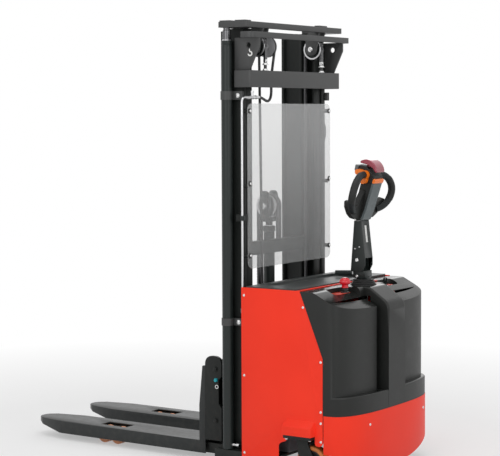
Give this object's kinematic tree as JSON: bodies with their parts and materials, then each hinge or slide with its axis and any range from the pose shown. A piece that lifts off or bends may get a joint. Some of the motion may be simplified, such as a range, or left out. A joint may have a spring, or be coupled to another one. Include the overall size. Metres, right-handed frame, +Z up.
{
  "type": "walkie stacker",
  "caption": "Pedestrian electric stacker: red body, steering tiller, clear-guarded three-stage mast with chains and lift cylinders, forks over straddle legs.",
  "frame": {"origin": "on the floor, midway between the fork tips and the rearmost face of the body and midway across", "axes": "+Z up; the forks point along -Y and the operator stands at +Y; +X is across the machine"},
  "size_m": [0.87, 1.88, 1.975],
  "materials": {
    "red_paint": "smooth gloss",
    "mast_grey_paint": "satin",
    "black_paint": "satin",
    "cover_black": "fine grain, semi-matte",
    "gloss_black": "glossy",
    "fork_paint": "satin, worn on top",
    "steel": "zinc plated",
    "chrome": "hard chrome",
    "chain_steel": "oiled",
    "clear_sheet": "clear polycarbonate",
    "roller_orange": "polyurethane",
    "wheel_tread": "polyurethane",
    "rubber": "matte",
    "head_grey": "semi-matte",
    "orange": "satin",
    "belly_red": "translucent gloss",
    "stop_red": "gloss",
    "battery_grey": "matte"
  },
  "bodies": {
    "chassis": {"chassis_frame": "black_paint", "support_leg_left": "black_paint", "support_leg_right": "black_paint", "side_panel_left": "red_paint", "side_panel_right": "red_paint", "rear_skirt": "red_paint", "rear_cover": "cover_black", "top_tray": "gloss_black", "battery": "battery_grey", "hydraulic_power_unit": "black_paint", "outer_upright_left": "mast_grey_paint", "outer_upright_right": "mast_grey_paint", "outer_top_strap": "mast_grey_paint", "outer_cross_band": "mast_grey_paint", "lift_cylinder_left": "black_paint", "lift_cylinder_right": "black_paint", "mast_guard": "clear_sheet", "hydraulic_pipe": "steel", "tiller_boot": "rubber"},
    "middle_mast": {"middle_upright_left": "mast_grey_paint", "middle_upright_right": "mast_grey_paint", "middle_top_strap": "mast_grey_paint", "middle_crossbar": "mast_grey_paint", "lift_rod_left": "chrome", "lift_rod_right": "chrome", "lift_chain_left": "chain_steel", "lift_chain_right": "chain_steel"},
    "pulley_left": {"chain_pulley_left": "steel"},
    "pulley_right": {"chain_pulley_right": "steel"},
    "inner_mast": {"inner_upright_left": "mast_grey_paint", "inner_upright_right": "mast_grey_paint", "inner_crossbar": "mast_grey_paint", "inner_base_bar": "mast_grey_paint", "free_lift_cylinder": "black_paint"},
    "crosshead": {"crosshead": "black_paint", "free_lift_chain": "chain_steel"},
    "sheave": {"crosshead_sheave": "steel"},
    "carriage": {"carriage_frame": "black_paint", "fork_left": "fork_paint", "fork_right": "fork_paint"},
    "steering": {"drive_unit": "black_paint", "tiller_neck": "black_paint"},
    "drive_wheel": {"drive_wheel": "wheel_tread"},
    "tiller": {"tiller_arm": "black_paint", "tiller_head": "head_grey"},
    "throttle_left": {"throttle_left": "orange"},
    "throttle_right": {"throttle_right": "orange"},
    "lift_button": {"lift_button": "head_grey"},
    "horn_button": {"horn_button": "head_grey"},
    "belly_button": {"belly_button": "belly_red"},
    "emergency_stop": {"emergency_stop": "stop_red"},
    "key_switch": {"key_switch": "black_paint"},
    "caster_fork_left": {"caster_fork_left": "black_paint"},
    "caster_wheel_left": {"caster_wheel_left": "wheel_tread"},
    "load_roller_left_1": {"load_roller_left_1": "roller_orange"},
    "load_roller_left_2": {"load_roller_left_2": "roller_orange"},
    "caster_fork_right": {"caster_fork_right": "black_paint"},
    "caster_wheel_right": {"caster_wheel_right": "wheel_tread"},
    "load_roller_right_1": {"load_roller_right_1": "roller_orange"},
    "load_roller_right_2": {"load_roller_right_2": "roller_orange"}
  },
  "joints": [
    {"name": "middle_lift", "type": "slide", "parent": "chassis", "child": "middle_mast", "axis": [0, 0, 1], "range_m": [0, 1.3]},
    {"name": "inner_lift", "type": "slide", "parent": "middle_mast", "child": "inner_mast", "axis": [0, 0, 1], "range_m": [0, 1.3], "deforming": ["lift_chain_left", "lift_chain_right"]},
    {"name": "pulley_left_spin", "type": "hinge", "parent": "middle_mast", "child": "pulley_left", "pos_m": [0.238, 0.364, 1.866], "axis": [1, 0, 0], "range_deg": [-1730, 0]},
    {"name": "pulley_right_spin", "type": "hinge", "parent": "middle_mast", "child": "pulley_right", "pos_m": [-0.238, 0.364, 1.866], "axis": [1, 0, 0], "range_deg": [-1730, 0]},
    {"name": "free_lift", "type": "slide", "parent": "inner_mast", "child": "crosshead", "axis": [0, 0, 1], "range_m": [0, 0.62]},
    {"name": "carriage_lift", "type": "slide", "parent": "crosshead", "child": "carriage", "axis": [0, 0, 1], "range_m": [0, 0.62], "deforming": ["free_lift_chain"]},
    {"name": "sheave_spin", "type": "hinge", "parent": "crosshead", "child": "sheave", "pos_m": [0, 0.269, 1.147], "axis": [1, 0, 0], "range_deg": [-690, 0]},
    {"name": "steer", "type": "hinge", "parent": "chassis", "child": "steering", "pos_m": [0, 0.767, 0.36], "axis": [0, 0, 1], "range_deg": [-90, 90]},
    {"name": "drive_wheel_spin", "type": "hinge", "parent": "steering", "child": "drive_wheel", "pos_m": [0, 0.767, 0.115], "axis": [1, 0, 0], "continuous": true},
    {"name": "tiller_tilt", "type": "hinge", "parent": "steering", "child": "tiller", "pos_m": [0, 0.7535, 0.922], "axis": [1, 0, 0], "range_deg": [-75, 0], "stiffness_Nm_per_rad": 18, "springref_deg": 20.05},
    {"name": "throttle_left_turn", "type": "hinge", "parent": "tiller", "child": "throttle_left", "pos_m": [0.0403, 0.80069, 1.29982], "axis": [1, 0, 0], "range_deg": [-30, 30], "stiffness_Nm_per_rad": 1},
    {"name": "throttle_right_turn", "type": "hinge", "parent": "tiller", "child": "throttle_right", "pos_m": [-0.0403, 0.80069, 1.29982], "axis": [1, 0, 0], "range_deg": [-30, 30], "stiffness_Nm_per_rad": 1},
    {"name": "lift_button_press", "type": "slide", "parent": "tiller", "child": "lift_button", "axis": [0, 0.9744, -0.225], "range_m": [0, 0.003], "stiffness_N_per_m": 600, "springref_m": -0.003},
    {"name": "horn_button_press", "type": "slide", "parent": "tiller", "child": "horn_button", "axis": [0, 0.9744, -0.225], "range_m": [0, 0.003], "stiffness_N_per_m": 600, "springref_m": -0.003},
    {"name": "belly_button_press", "type": "slide", "parent": "tiller", "child": "belly_button", "axis": [0, -0.225, -0.9744], "range_m": [0, 0.006], "stiffness_N_per_m": 1500, "springref_m": -0.004},
    {"name": "emergency_stop_press", "type": "slide", "parent": "chassis", "child": "emergency_stop", "axis": [0, 0, -1], "range_m": [0, 0.006]},
    {"name": "key_turn", "type": "hinge", "parent": "chassis", "child": "key_switch", "pos_m": [-0.191, 0.772, 0.785], "axis": [0, 0, 1], "range_deg": [-90, 0]},
    {"name": "caster_left_swivel", "type": "hinge", "parent": "chassis", "child": "caster_fork_left", "pos_m": [0.355, 0.685, 0.174], "axis": [0, 0, 1], "continuous": true},
    {"name": "caster_left_spin", "type": "hinge", "parent": "caster_fork_left", "child": "caster_wheel_left", "pos_m": [0.355, 0.725, 0.075], "axis": [1, 0, 0], "continuous": true},
    {"name": "load_roller_left_1_spin", "type": "hinge", "parent": "chassis", "child": "load_roller_left_1", "pos_m": [0.196, -0.532, 0.0385], "axis": [1, 0, 0], "continuous": true},
    {"name": "load_roller_left_2_spin", "type": "hinge", "parent": "chassis", "child": "load_roller_left_2", "pos_m": [0.196, -0.453, 0.0385], "axis": [1, 0, 0], "continuous": true},
    {"name": "caster_right_swivel", "type": "hinge", "parent": "chassis", "child": "caster_fork_right", "pos_m": [-0.355, 0.685, 0.174], "axis": [0, 0, 1], "continuous": true},
    {"name": "caster_right_spin", "type": "hinge", "parent": "caster_fork_right", "child": "caster_wheel_right", "pos_m": [-0.355, 0.725, 0.075], "axis": [1, 0, 0], "continuous": true},
    {"name": "load_roller_right_1_spin", "type": "hinge", "parent": "chassis", "child": "load_roller_right_1", "pos_m": [-0.196, -0.532, 0.0385], "axis": [1, 0, 0], "continuous": true},
    {"name": "load_roller_right_2_spin", "type": "hinge", "parent": "chassis", "child": "load_roller_right_2", "pos_m": [-0.196, -0.453, 0.0385], "axis": [1, 0, 0], "continuous": true}
  ],
  "couplings": [
    {"joint": "inner_lift", "follows": "middle_lift", "ratio": 1},
    {"joint": "pulley_left_spin", "follows": "middle_lift", "rad_per_m": -23.148},
    {"joint": "pulley_right_spin", "follows": "middle_lift", "rad_per_m": -23.148},
    {"joint": "carriage_lift", "follows": "free_lift", "ratio": 1},
    {"joint": "sheave_spin", "follows": "free_lift", "rad_per_m": -19.231},
    {"joint": "throttle_right_turn", "follows": "throttle_left_turn", "ratio": 1}
  ]
}
